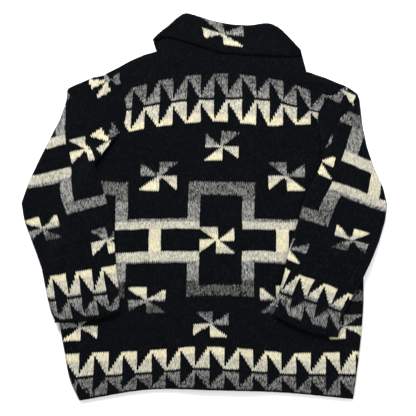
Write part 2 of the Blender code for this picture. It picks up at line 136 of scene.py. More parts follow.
# The sleeves' outlines, from the shoulder tip down the outer side to the cuff, and from it down the
# armhole seam and the inner side.
SLEEVE_OUTER = (
    (
        (-199, 271), (-215, 268), (-238, 258), (-260, 249), (-277, 240), (-279, 216), (-292, 178),
        (-313, 138), (-335, 94), (-355, 52), (-370, 9), (-364, -27), (-351, -62), (-339, -94),
        (-329, -123), (-323, -153), (-316, -186), (-309, -212), (-303, -225), (-300, -231),
    ),
    (
        (288, 246), (300, 239), (311, 230), (315, 219), (317, 200), (321, 166), (330, 123), (344, 82),
        (363, 40), (371, 7), (367, -27), (355, -68), (339, -107), (321, -144), (302, -176), (287, -206),
        (278, -232), (271, -261),
    ),
)
SLEEVE_INNER = (
    (
        (-212, 69), (-211, 64), (-209, 56), (-206, 44), (-201, 27), (-196, 9), (-188, -17), (-182, -50),
        (-180, -86), (-177, -121), (-173, -159), (-171, -188), (-172, -210),
    ),
    (
        (238.5, 130), (239, 112), (239, 92), (228, 67), (218, 48), (208, 29), (199, 3), (190, -29),
        (178, -66), (168, -98), (164, -127), (155, -161), (147, -190), (142, -217),
    ),
)
CUFF_SAG = 8.0
# Knit rows on the sleeves: row, then x and y of two places on it, left and right.
SLEEVE_ROWS = (
    (
        (0, -302.5, -232.4, -171.5, -210.1), (15, -315.7, -185.7, -173.4, -167.5),
        (30, -324.8, -139.1, -178.6, -114.7), (39, -331.9, -114.7, -180.1, -84.2),
        (48.5, -341.0, -90.3, -181.7, -49.7), (58.5, -351.2, -61.9, -188.8, -17.3),
        (67.7, -361.3, -33.5, -195.9, 9.1), (77.5, -371.5, -1.0, -202.0, 35.5),
        (88, -363.4, 33.5, -208.1, 66.0), (97.4, -347.1, 63.9, -217.2, 94.4),
        (157.4, -390.0, 247.7, -260.1, 278.2),
    ),
    (
        (0, 141.1, -217.2, 270.0, -262.9), (15, 152.3, -169.5, 282.2, -210.1),
        (30, 167.5, -122.8, 301.7, -175.6), (42, 170.5, -90.3, 324.8, -137.0),
        (54.3, 182.7, -57.9, 343.1, -98.5), (66.6, 194.9, -17.3, 357.3, -68.0),
        (88, 217.2, 47.7, 370.5, -8.0), (95.5, 227.4, 70.0, 368.4, 16.0),
        (110, 241.6, 112.7, 349.2, 67.0), (170, 308.2, 289.4, 415.8, 243.0),
    ),
)
SLEEVE_TOP_ROW = (151, 156)
# How many stitches the columns lean to the right of those rows' middles: row, then stitches.
SLEEVE_LEAN = (
    ((0, 0), (60, 0), (75, 0), (98, -3.1), (113, -2.9), (134, 1.1), (150, 4.3), (158, 5.8)),
    ((0, 0), (60, 0), (76, 0), (95, 3.1), (110, 6.3), (133, 6.3), (150, 6.0), (160, 6.0)),
)
# The fold under each shoulder, from the outline down to the underarm.
CREASES = (
    ((-282, 240), (-256, 212), (-240, 176), (-241, 143), (-231, 123), (-217, 92)),
    ((318, 219), (303, 207), (277, 182), (262, 155), (246, 122), (240, 90), (228, 67)),
)
CREASE_HEIGHT = (4.6, 5.0)

COLLAR_COLUMNS = ("seam_x", "seam_y", "fold_x", "fold_y", "free_x", "free_y")
COLLAR = (
    (-97, 316, -105, 340, -94, 344),
    (-81, 317, -89, 356, -81, 346),
    (-67, 318, -71, 370, -65, 344),
    (-45, 319, -53, 386, -47, 339),
    (-24, 316, -37, 394, -28, 333),
    (-2, 309, -14, 389, -2, 325),
    (30, 304, 18, 379, 28, 316),
    (63, 303, 55, 372, 61, 312),
    (97, 303, 93, 370, 97, 310),
    (130, 304, 128, 374, 130, 308),
    (154, 294, 152, 365, 154, 307),
    (177, 281, 175, 343, 173, 306),
    (207, 274, 196, 320, 187, 306),
)
COLLAR_SINK = 70.0
COLLAR_ROLL = 3.4

# Soft folds: from x and y to x and y, how far the middle bows to the left of that way, the width to
# each side and the height, below nought for a trough. FOLDS is the source's own table.
FOLDS = (
    (0, -228, 135, -289, -12, 34, 2.2),
    (-25, -128, 28, -160, 6, 30, 1.6),
    (140, 143, 208, 105, 6, 28, 2.0),
    (-160, 128, -72, 150, 10, 30, 2.0),
    (-85, 293, -40, 300, 0, 26, 2.0),
    (135, 285, 236, 246, 0, 30, 3.0),
    (-60, 262, 130, 262, 14, 40, 1.5),
    (-230, -310, -60, -306, 8, 36, 1.5),
    (60, -318, 280, -312, 8, 36, 1.8),
)
FINE_FOLDS = (
    (-12, -245, 120, -310, -10, 14, -1.6),
    (-28, -142, 30, -172, 6, 11, -1.2),
    (132, 128, 214, 92, 6, 12, -1.8),
    (-165, 112, -60, 136, 10, 12, -1.6),
    (-95, 281, -35, 288, 0, 11, -1.6),
    (120, 268, 232, 232, 0, 13, -2.0),
    (-150, 200, -90, 252, 8, 16, 1.2),
    (60, 40, 110, -30, -8, 26, 1.4),
    (-130, -20, -60, -80, 8, 28, 1.3),
    (-120, 60, -40, 20, 6, 24, -1.1),
    (150, -40, 200, -110, 4, 22, 1.2),
    (-170, -250, -90, -230, 6, 20, 1.2),
    (170, -230, 260, -268, 6, 18, 1.3),
    (-40, 200, 60, 190, -8, 26, 1.1),
    (70, 230, 170, 190, 6, 22, -1.2),
    (-100, -350, 40, -345, 6, 14, 1.0),
    (20, 120, 60, 60, 5, 22, -1.0),
)
SLEEVE_FOLDS = (
    (-352, 40, -250, 95, 12, 17, 2.2),
    (-345, -10, -240, 30, 10, 20, 1.8),
    (-350, -50, -260, -10, -8, 15, -1.8),
    (-330, -100, -230, -60, 8, 18, 1.6),
    (-322, -140, -200, -118, 6, 14, -1.6),
    (-300, 100, -262, 180, 8, 16, 2.0),
    (350, 60, 262, 112, 10, 18, 2.2),
    (362, 20, 250, 50, -8, 20, 2.0),
    (350, -40, 250, -10, 10, 16, -1.8),
    (340, -80, 215, -50, -8, 18, 1.8),
    (312, -150, 185, -108, 6, 14, -1.6),
    (322, 150, 285, 178, 4, 14, 2.0),
)

BLACK = 0.0
CREAM, TAN, PALE, LIGHT, GREY, DARK, DEEP = 0.98, 0.88, 0.79, 0.42, 0.31, 0.24, 0.14
# A pinwheel's tones from its top to its bottom, when it gets lighter downwards, upwards or not at all.
DOWN, UP, ALL = (DARK, LIGHT, PALE, CREAM), (CREAM, PALE, LIGHT, DEEP), (PALE, CREAM, CREAM, PALE)


def eased(t):
    t = min(max(t, 0.0), 1.0)
    return t * t * (3 - 2 * t)


def rounding(distance, radius):
    """The height of a quarter circle, as a share of its radius, at a distance from its foot."""
    t = 1 - min(max(distance / radius, 0.0), 1.0)
    return math.sqrt(1 - t * t)


def mix(a, b, t):
    return a + (b - a) * t


def smooth(keys, values, at):
    """A smooth curve through values at rising keys, read at one place."""
    last = len(keys) - 1
    at = min(max(at, keys[0]), keys[last])
    i = next((k for k in range(last) if at <= keys[k + 1]), last - 1)

    def slope(k):
        a, b = max(k - 1, 0), min(k + 1, last)
        return (values[b] - values[a]) / (keys[b] - keys[a])

    step = keys[i + 1] - keys[i]
    t = (at - keys[i]) / step
    start, end = values[i], values[i + 1]
    out, into = slope(i) * step, slope(i + 1) * step
    return (
        start * (2 * t**3 - 3 * t**2 + 1)
        + out * (t**3 - 2 * t**2 + t)
        + end * (3 * t**2 - 2 * t**3)
        + into * (t**3 - t**2)
    )


def read(table, key, name, columns, at):
    keys = [row[columns.index(key)] for row in table]
    return smooth(keys, [row[columns.index(name)] for row in table], at)


def straight(points, x):
    """The height of a line of (x, y) points at x."""
    for (x0, y0), (x1, y1) in zip(points, points[1:]):
        if x <= x1:
            break
    return mix(y0, y1, (x - x0) / (x1 - x0))


@lru_cache(maxsize=None)
def body_line(row):
    return tuple(read(BODY, "row", name, BODY_COLUMNS, row) for name in BODY_COLUMNS[1:])


def body_row(row, u):
    left_x, left_y, right_x, right_y, quarter_y, middle_y, three_quarter_y = body_line(row)
    heights = (left_y, quarter_y, middle_y, three_quarter_y, right_y)
    return mix(left_x, right_x, u), smooth((0, 0.25, 0.5, 0.75, 1), heights, u)


def body_place(row, u):
    x, y = body_row(min(row, LAST_ROW), u)
    if row <= LAST_ROW:
        return x, y
    top_x = mix(TOP_EDGE[0][0], TOP_EDGE[-1][0], u)
    share = (row - LAST_ROW) / (SHOULDER_ROW - LAST_ROW)
    return mix(x, top_x, share), mix(y, straight(TOP_EDGE, top_x), share)


SIDE_POINTS = [
    sorted((body_place(row, side)[1], body_place(row, side)[0]) for row in BODY_ROWS + ARMHOLE_ROWS)
    for side in (0, 1)
]


def side_x(y, side):
    points = SIDE_POINTS[side]
    return straight(points, min(max(y, points[0][0]), points[-1][0]))


def opening_x(y, side):
    line = (OPENING_LEFT, OPENING_RIGHT)[side]
    return straight(line, min(max(y, line[0][0]), line[-1][0]))


def band_lift(x, y):
    away = abs(x - (opening_x(y, 1) + (BAND_LAP - BAND_WIDTH) / 2))
    return PLAIT * (1 - eased((away - BAND_REACH[0]) / (BAND_REACH[1] - BAND_REACH[0])))


def fold_height(folds, x, y):
    total = 0.0
    for x0, y0, x1, y1, bow, width, height in folds:
        along_x, along_y = x1 - x0, y1 - y0
        length = math.hypot(along_x, along_y)
        t = ((x - x0) * along_x + (y - y0) * along_y) / length**2
        if not 0 < t < 1:
            continue
        across = ((y - y0) * along_x - (x - x0) * along_y) / length - bow * 4 * t * (1 - t)
        if abs(across) < width:
            total += height * math.cos(across / width * math.pi / 2) ** 2 * math.sin(math.pi * t)
    return total


def closing(row, x, y):
    left_x, right_x = side_x(y, 0), side_x(y, 1)
    seamed = 1 - eased((row - UNDERARM_ROW) / 5)
    side = 1 - seamed * (1 - rounding(min(x - left_x, right_x - x), SIDE_ROUND))
    shoulder = max(eased((NECK_POINTS[0] - x) / 12), eased((x - NECK_POINTS[1]) / 12))
    top_y = straight(TOP_EDGE, min(max(x, TOP_EDGE[0][0]), TOP_EDGE[-1][0]))
    return side * (1 - shoulder * (1 - rounding(top_y - y, SIDE_ROUND)))


def layers(row, x, y):
    """The heights of the fronts' lower and upper face and the back's lower and upper face at a place."""
    k = closing(row, x, y)
    lift = band_lift(x, y)
    flat = (0, WALL, WALL + LAY + lift, WALL + LAY + lift + WALL + fold_height(FOLDS, x, y))
    bottom, front, back, top = (mix(seam, level, k) for seam, level in zip(SIDE_LEVELS, flat))
    nose = HEM_NOSE * (1 - rounding(row * 3, HEM_ROUND))
    return bottom + nose, front - nose, back + nose, top - nose


def in_metres(x, y, z):
    return (x - MIDDLE[0]) * MM, (y - MIDDLE[1]) * MM, z * MM


def uneven(x, y, seed, size):
    """Soft unevenness between -1 and 1."""
    return noise.noise(Vector((x / size, y / size, seed)))


def wander(x, y, share):
    """Moves a place a little in plan, because hand-held cloth never lies quite square."""
    share = min(max(share, 0.0), 1.0)
    dx = 2.4 * uneven(x, y, 11.3, 70) + 1.1 * uneven(x, y, 14.9, 24)
    dy = 2.8 * uneven(x, y, 17.7, 66) + 1.3 * uneven(x, y, 21.1, 22)
    return x + dx * share, y + dy * share


def nearest(points, x, y):
    """Distance to a line of points, which side of it (above nought on its left) and the foot's place."""
    best = None
    for (x0, y0), (x1, y1) in zip(points, points[1:]):
        dx, dy = x1 - x0, y1 - y0
        t = min(max(((x - x0) * dx + (y - y0) * dy) / (dx * dx + dy * dy), 0.0), 1.0)
        foot = (x0 + dx * t, y0 + dy * t)
        away = math.hypot(x - foot[0], y - foot[1])
        if best is None or away < best[0]:
            side = 1 if dx * (y - y0) - dy * (x - x0) > 0 else -1
            best = (away, side, foot)
    return best


# The knit: lattices of stitches


def add_lattice(bm, stitches, rows, place, chart, turned=False):
    """Adds stitches from stitches[0] to stitches[1] on the knit rows: place(c, row, odd) gives x, y and z."""
    first, last = stitches
    columns = 2 * (last - first) + 1
    made = bmesh.ops.create_grid(bm, x_segments=columns - 1, y_segments=len(rows) - 1, size=0.5)["verts"]
    stitch = bm.loops.layers.uv["stitch"]
    yarn = bm.loops.layers.float_color["yarn"]
    keys = {}
    for vert in made:
        j = round((vert.co.x + 0.5) * (columns - 1))
        k = round((vert.co.y + 0.5) * (len(rows) - 1))
        keys[vert] = (j, k)
    faces = {face for vert in made for face in vert.link_faces}
    for face in faces:
        corners = [keys[loop.vert] for loop in face.loops]
        leg = min(j for j, _ in corners)
        low = min(k for _, k in corners)
        tone = chart(first + leg // 2 + 0.5, (rows[low] + rows[low + 1]) / 2)
        tension = noise.cell(Vector((leg + 0.5, low + 0.5, len(rows) + 0.5)))
        face.smooth = True
        for loop, (j, k) in zip(face.loops, corners):
            loop[stitch].uv = (first + j / 2, rows[k])
            loop[yarn] = (tone, min(max((tone - 0.6) / 0.35, 0.0), 1.0), tension, 1)
    if turned:
        bmesh.ops.reverse_faces(bm, faces=list(faces))
    for vert, (j, k) in keys.items():
        x, y, z = place(first + j / 2, rows[k], j % 2)
        inner = 3 < k < len(rows) - 3
        if inner and not vert.is_boundary:
            spot = Vector((j + 0.5, k + 0.5, 0.5))
            shift = noise.cell_vector(spot) - Vector((0.5, 0.5, 0.5))
            x, y = x + shift.x * JITTER * 2, y + shift.y * JITTER * 2
        vert.co = in_metres(x, y, z)


def add_object(name, data):
    made = bpy.data.objects.new(name, data)
    bpy.context.scene.collection.objects.link(made)
    return made


def add_shape(name, bm, material=None):
    """Makes an object of a finished bmesh, and frees it."""
    mesh = bpy.data.meshes.new(name)
    bm.to_mesh(mesh)
    bm.free()
    if material:
        mesh.materials.append(material)
    return add_object(name, mesh)


def new_cloth():
    bm = bmesh.new()
    bm.loops.layers.uv.new("stitch")
    bm.loops.layers.float_color.new("yarn")
    return bm


def finish_cloth(name, bm, merge=0.02):
    bmesh.ops.remove_doubles(bm, verts=bm.verts, dist=merge * MM)
    bmesh.ops.dissolve_degenerate(bm, edges=bm.edges, dist=merge * MM)
    loose = [vert for vert in bm.verts if not vert.link_faces]
    bmesh.ops.delete(bm, geom=loose, context="VERTS")
    return add_shape(name, bm, bpy.data.materials["Heavy knit"])


def wale(odd):
    """How much a stitch stands out: its middle does, and the groove beside it doesn't."""
    return bpy.context.scene.cardigan_knit.relief * (0.35 if odd else -0.65)


# The pattern, charted in stitches and rows


def teeth(c, height, r, period=14):
    """One row of a sawtooth band: r rows out from its black line, of height rows."""
    half = period // 2
    phase = int((c + half + 4) % period)
    thin = 2.2
    if phase < half:
        return r < thin + (height - thin) * phase / (half - 1)
    return height - r < thin + (height - thin) * (phase - half) / (period - half - 1)


def pinwheel(c, r, size, rows, turn, tones):
    """The tone of a stitch in a pinwheel of that many stitches and rows a vane, or nothing.

    The tones are for the knit rows from the top down, or for each vane by name."""
    x, y = c * turn, r * size / rows
    if max(abs(x), abs(y)) > size + 0.1:
        return None
    if -abs(y) <= (x if y > 0 else -x) <= 0.3:
        which = "upper" if y > 0 else "lower"
    elif 0 <= (y if x > 0 else -y) <= abs(x) * 0.92:
        which = "right" if x * turn > 0 else "left"
    elif abs(x) < 1 and abs(y) < 2:
        which = "upper"
    else:
        return None
    if isinstance(tones, dict):
        return tones[which]
    return tones[min(int((size - y) / size * 2), 3)]


def sawtooth_band(c, row, low, line, high, tones, period=14):
    """A band of two rows of teeth about a black line. tones are from its lower edge to its upper one."""
    if not low <= row < high or abs(row - line) < 1.2:
        return None
    up = row > line
    height = (high - line if up else line - low) - 1.2
    r = abs(row - line) - 1.2
    if not teeth(c, height, r, period):
        return None
    share = (row - low) / (high - low)
    at = min(int(share * len(tones)), len(tones) - 1)
    return tones[at]


# Pinwheels on the body: centre stitch and row, stitches and rows a vane, turn and tones.
BODY_PINWHEELS = (
    (-31, 142, 9, 9, -1, DOWN),
    (0.5, 161.5, 8.5, 9, -1, DOWN),
    (33, 142, 9, 9, 1, DOWN),
    (-1.5, 99.5, 8.5, 8.5, 1, ALL),
    (-35, 61.5, 9, 8, 1, UP),
    (-3.5, 45, 8.5, 8, 1, DOWN),
    (-67.5, 46, 8.5, 8, -1, DOWN),
    (28.5, 62.5, 8.5, 8, -1, UP),
    (61.5, 47, 8.5, 8, -1, DOWN),
)
# The crosses' tones, each up to a row, and those of the hem's and cuffs' bands from their lower edge.
CROSS_TONES = ((74, DEEP), (86, LIGHT), (92, PALE), (107, CREAM), (112, PALE), (126, LIGHT), (200, DARK))
HEM_TONES = (DARK, DARK, GREY, PALE, PALE, CREAM)
CUFF_TONES = (GREY, GREY, LIGHT, PALE, PALE, CREAM)
# The vane of the left sleeve's shoulder pinwheel that reaches over the seam onto the back.
SHOULDER_VANE = ((-60, 216.5), (-53.5, 219.5), (-52, 213.5))


def cross_row(c, row):
    """The stepped crosses, 63 stitches apart, joined by stems."""
    across = abs((c - 0.5 + 31.5) % 63 - 31.5)
    stem = 28 <= (c - 0.5) % 63 < 34
    upright = 11 <= across <= 16.6
    if 130.5 <= row < 138:
        return across <= 16.6
    if 107 <= row < 130.5:
        return upright or (row < 114.5 and across >= 10.5)
    if 92 <= row < 107:
        return stem
    if 64 <= row < 92:
        return upright or (row >= 85 and across >= 10.5) or (row < 71 and across <= 16.6)
    return False


def body_chart(c, row):
    for at, middle, size, rows, turn, tones in BODY_PINWHEELS:
        tone = pinwheel(c - at, row - middle, size, rows, turn, tones)
        if tone is not None:
            return tone
    if in_quad(c, row, SHOULDER_VANE):
        return DARK
    tone = sawtooth_band(c, row, 2, 15, 30, HEM_TONES)
    if tone is None:
        tone = sawtooth_band(c, row, 177, 193, 209, (CREAM, PALE, PALE, LIGHT, GREY, DARK))
    if tone is None and cross_row(c, row):
        tone = next(shade for top, shade in CROSS_TONES if row < top)
    return BLACK if tone is None else tone


def in_quad(c, row, corners):
    """Whether a place is inside a shape with its corners in order."""
    inside = False
    for (x0, y0), (x1, y1) in zip(corners, corners[1:] + corners[:1]):
        if (y0 > row) != (y1 > row) and c < x0 + (row - y0) * (x1 - x0) / (y1 - y0):
            inside = not inside
    return inside


# What shows of the sleeves' bars, in stitches and rows: the tone, then the corners.
SLEEVE_SHAPES = (
    (
        (DARK, ((2, 150), (7, 146), (8.5, 142), (5, 139))),
        (DARK, ((13.4, 137), (18.6, 125), (17.2, 122), (13.6, 134))),
        (LIGHT, ((-9, 137), (6, 137), (6, 119), (1, 119), (1, 124), (-9, 124))),
        (PALE, ((-12, 119), (6, 119), (6, 113), (-12, 113))),
        (PALE, ((-30, 98), (6, 98), (6, 92), (-30, 92))),
        (LIGHT, ((-30, 92), (6, 92), (6, 75), (0, 75), (0, 90), (-30, 90))),
        (GREY, ((0, 75), (30, 75), (30, 68), (0, 68))),
    ),
    (
        (DARK, ((-18.5, 141), (-4, 141), (-4, 133), (-18.5, 133))),
        (LIGHT, ((-11.4, 133), (-4.4, 133), (-4.4, 117), (-11.4, 117))),
        (PALE, ((-11.4, 117), (12, 117), (12, 110), (-11.4, 110))),
        (TAN, ((6, 110), (12, 110), (12, 95), (6, 95))),
        (PALE, ((-13, 95), (30, 95), (30, 90), (-13, 90))),
        (LIGHT, ((-13, 90), (30, 90), (30, 88), (-6, 88), (-6, 82), (-13, 82))),
        (GREY, ((-13, 82), (-6, 82), (-6, 77), (-13, 77))),
        (DARK, ((-13, 77), (-6, 77), (-6, 66), (-40, 66), (-40, 73), (-13, 73))),
        (DARK, ((-19.3, 124), (-21.4, 115.2), (-20, 113.8), (-18.8, 120))),
    ),
)
# Pinwheels on the sleeves: centre stitch and row, stitches and rows a vane, turn, degrees that the rows
# slope more there, tones, and whether it is above the fold under the shoulder (1), below (-1) or either (0).
SLEEVE_PINWHEELS = (
    (
        (27, 147, 8, 7, -1, 16, {"upper": GREY, "right": DARK, "lower": TAN, "left": CREAM}, 1),
        (27.5, 109, 6.5, 9.5, 1, 24, {"upper": CREAM, "right": DARK, "lower": BLACK, "left": PALE}, 1),
        (16, 107, 9, 8, 1, 0, ALL, -1),
        (-14, 62.5, 8.5, 7.5, 1, 0, UP, 0),
        (16.5, 45.5, 8.5, 7.5, 1, 0, DOWN, 0),
    ),
    (
        (-22, 151.5, 7, 7, -1, 6, {"upper": GREY, "right": TAN, "lower": DARK, "left": GREY}, 1),
        (-22, 104, 8, 7.5, 1, 0, {"upper": BLACK, "right": CREAM, "lower": CREAM, "left": BLACK}, 0),
        (7, 62, 8.5, 8, -1, 0, UP, 0),
        (-20.5, 45, 8.5, 8, 1, 0, DOWN, 0),
    ),
)
# How far the cuffs' teeth are shifted, in stitches, and the first patterned row.
CUFF_SHIFT = (3.0, -5.5)
CUFF_BORDER = (3.5, 5.5)


def sleeve_chart(side, c, row, above):
    tone = sawtooth_band(c - CUFF_SHIFT[side], row, CUFF_BORDER[side], 15, 30, CUFF_TONES, period=13)
    if tone is not None:
        return tone
    for at, middle, size, rows, turn, slope, tones, where in SLEEVE_PINWHEELS[side]:
        if where == 0 or (where > 0) == above:
            away, high = (c - at) * STITCH, (row - middle) * ROW_HEIGHT
            cosine, sine = math.cos(math.radians(slope)), math.sin(math.radians(slope))
            aside, up = (away * cosine + high * sine) / STITCH, (high * cosine - away * sine) / ROW_HEIGHT
            tone = pinwheel(aside, up, size, rows, turn, tones)
            if tone is not None:
                return tone
    if not above:
        for tone, corners in SLEEVE_SHAPES[side]:
            if in_quad(c, row, corners):
                return tone
    return BLACK


def plain_chart(_c, _row):
    return BLACK


# The body


def body_gauge(row):
    """Where stitch 0's left side is on a knit row, and how wide a stitch is."""
    share = (row - 15) / 178
    return 27.4 + 9.1 * share, 4.202 - 0.23 * share


def curled(away):
    """Where a place in from a rounded side seam lies in plan, when it is that far along the cloth."""
    s = max(away + SIDE_CURL, 0.0)
    if s >= SIDE_ROUND + SIDE_CURL:
        return away
    t = s / (SIDE_ROUND + SIDE_CURL)
    return SIDE_ROUND * (1 - math.cos(t * math.pi / 2)) * mix(0.75, 1.0, t)


@lru_cache(maxsize=None)
def row_ends(row):
    return body_place(row, 0)[0], body_place(row, 1)[0]


def body_u(c, row):
    """The share of the row's width where a stitch lies, and how far it is inside the nearer side."""
    left_x, right_x = row_ends(row)
    start, width = body_gauge(row)
    x = start + c * width
    inside = min(x - left_x, right_x - x)
    if row < UNDERARM_ROW + 5:
        reach = mix(curled(inside), inside, eased((row - UNDERARM_ROW) / 5))
    else:
        reach = inside
    reach = max(reach, 0.0)
    if x - left_x <= right_x - x:
        x = left_x + min(reach, right_x - left_x)
    else:
        x = right_x - reach
    return (x - left_x) / (right_x - left_x), inside


def hem_turn(row, outer, inner):
    """Below row 0 the hem is turned under: height and how far up it lies."""
    if row >= 0:
        return outer, 0.0
    if row > -1:
        return mix(outer, inner, eased(-row)), HEM_TUCK * row
    return inner, ROW_HEIGHT * (-row - 1)


def turned_rows(top_row):
    """The knit rows of a piece with its lower edge turned under."""
    return [-6, -4, -2, -1, -0.5] + list(range(0, top_row + 1))


def back_place(c, row, odd):
    flat_row = max(row, 0.0)
    _, inside = body_u(c, flat_row)
    ends = min(max(inside / STITCH, 0.0), (SHOULDER_ROW - flat_row) / 4, 1.0)
    drop = DROP * ends if odd else 0.0
    at = max(flat_row - drop, 0.0) if row > 0 else flat_row
    u, inside = body_u(c, at)
    x, y = body_place(at, u)
    _, _, under, top = layers(at, x, y)
    calm = min(max(inside / 20, 0.0), 1.0)
    x, y = wander(x, y, min(inside / 25, flat_row / 5, (SHOULDER_ROW - flat_row) / 5))
    top += wale(odd) * min(1.0, max(inside, 0.0) / 6)
    top += calm * (fold_height(FINE_FOLDS, x, y) + 0.5 * uneven(x, y, 3.1, 46) + 0.25 * uneven(x, y, 8.7, 17))
    if at > UNDERARM_ROW + 2:
        top -= ARMHOLE_SINK * (1 - eased(inside / ARMHOLE_SINK_WIDTH))
    z, up = hem_turn(row, top, under + 0.4)
    return x, y + up, z


def make_back_piece():
    bm = new_cloth()
    add_lattice(bm, (-80, 74), turned_rows(SHOULDER_ROW), back_place, body_chart)
    return finish_cloth("back_knit", bm)


def front_place(side, c, row, odd):
    flat_row = max(row, 0.0)
    out = -1 if side == 0 else 1
    low_y = body_place(min(flat_row, UNDERARM_ROW), 0.5)[1]
    climb = max(0.0, (flat_row - UNDERARM_ROW) / (SHOULDER_ROW - UNDERARM_ROW))
    open_y = mix(low_y, straight(TOP_EDGE, NECK_POINTS[side]), climb)
    open_x = opening_x(open_y, side) + out * SEAM / 2
    edge_x, edge_y = body_place(flat_row, side)
    start, width = body_gauge(flat_row)
    x = start + c * width
    inside = (edge_x - x) * out
    reach = max(curled(inside) if flat_row < UNDERARM_ROW else inside, 0.0)
    span = abs(open_x - edge_x)
    share = min(reach / span, 1.0)
    middle = odd and 0 < share < 1 and 0 < row < SHOULDER_ROW
    x = mix(edge_x, open_x, share)
    if flat_row < UNDERARM_ROW:
        left_x, right_x = row_ends(flat_row)
        y = body_place(flat_row, (x - left_x) / (right_x - left_x))[1]
    else:
        y = mix(edge_y, open_y, share)
    if flat_row > LAST_ROW:
        tip_x, tip_y = body_place(SHOULDER_ROW, side)
        neck_x = NECK_POINTS[side]
        chord = mix(tip_y, straight(TOP_EDGE, neck_x), share)
        rise = straight(TOP_EDGE, mix(tip_x, neck_x, share)) - chord
        y += rise * (flat_row - LAST_ROW) / (SHOULDER_ROW - LAST_ROW)
    if middle:
        y -= ROW_HEIGHT * DROP * min(1.0, inside / STITCH, (1 - share) * span / STITCH)
    bottom, inner = layers(flat_row, x, y)[:2]
    bottom += (0.35 - wale(odd)) * min(1.0, max(inside, 0.0) / 6) * 0.6
    z, up = hem_turn(row, bottom, inner - 0.4)
    return x, y + up, z


def make_front_piece(name, side):
    bm = new_cloth()

    def place(c, row, odd):
        return front_place(side, c, row, odd)

    def chart(c, row):
        return body_chart(c, row) if row < 31 or row > 176 else BLACK

    stitches = (-80, 0) if side == 0 else (0, 74)
    add_lattice(bm, stitches, turned_rows(SHOULDER_ROW), place, chart, turned=True)
    return finish_cloth(name, bm)


# The sleeves


def sleeve_rest(x, y, side):
    edge = side_x(y, side)
    outside = edge - x if side == 0 else x - edge
    climb = 1 - eased((outside - 3) / (SLEEVE_CLIMB - 3))
    low, high = UNDERARM_CLIMB
    beside = 1 - eased((y - low) / (high - low))
    return climb * beside * (WALL + LAY + band_lift(x, y) + WALL + LAY)


def armhole(side):
    """The armhole seam from the shoulder tip down to the underarm."""
    seam = [body_place(row, side) for row in reversed(ARMHOLE_ROWS)]
    if side == 1:
        seam = [place for place in seam if place[1] > 136]
    return tuple(seam)


ARMHOLES = (armhole(0), armhole(1))
SLEEVE_LINES = tuple((SLEEVE_OUTER[side], ARMHOLES[side] + SLEEVE_INNER[side]) for side in (0, 1))
ROW_COLUMNS = ("row", "left_x", "left_y", "right_x", "right_y")


@lru_cache(maxsize=None)
def sleeve_row(side, row):
    """A sleeve's knit row: its middle, its direction, and how far its two ends are to each side."""
    left_x, left_y, right_x, right_y = (
        read(SLEEVE_ROWS[side], "row", name, ROW_COLUMNS, row) for name in ROW_COLUMNS[1:]
    )
    run = math.dist((left_x, left_y), (right_x, right_y))
    along = ((right_x - left_x) / run, (right_y - left_y) / run)
    middle = ((left_x + right_x) / 2, (left_y + right_y) / 2)
    ends = []
    for line in SLEEVE_LINES[side]:
        for (x0, y0), (x1, y1) in zip(line, line[1:]):
            a = (x0 - middle[0]) * along[1] - (y0 - middle[1]) * along[0]
            b = (x1 - middle[0]) * along[1] - (y1 - middle[1]) * along[0]
            if (a <= 0) != (b <= 0):
                t = a / (a - b)
                at = (mix(x0, x1, t) - middle[0], mix(y0, y1, t) - middle[1])
                ends.append(at[0] * along[0] + at[1] * along[1])
    if len(ends) < 2:
        if row < 20:
            half = run / 2
            return middle, along, (-half, half)
        return None
    return middle, along, (min(ends), max(ends))


@lru_cache(maxsize=None)
def sleeve_lean(side, row):
    return smooth([at for at, _ in SLEEVE_LEAN[side]], [lean for _, lean in SLEEVE_LEAN[side]], row)


@lru_cache(maxsize=None)
def sleeve_bounds(side, row):
    """As sleeve_row, and past the shoulder tip the last row that there is."""
    line = sleeve_row(side, row)
    while line is None:
        row -= 0.5
        line = sleeve_row(side, row)
    return line


def crease_lift(side, x, y):
    """How much the fold under the shoulder lifts the cloth, its distance, and which side this is."""
    away, hand, foot = nearest(CREASES[side], x, y)
    below = (hand < 0) == (side == 0)
    if below:
        lift = CREASE_HEIGHT[side] * rounding(away + 0.5, 7) * (1 - eased(away / 95))
    else:
        lift = -1.6 * (1 - eased(away / 9))
    return lift, away, below, foot


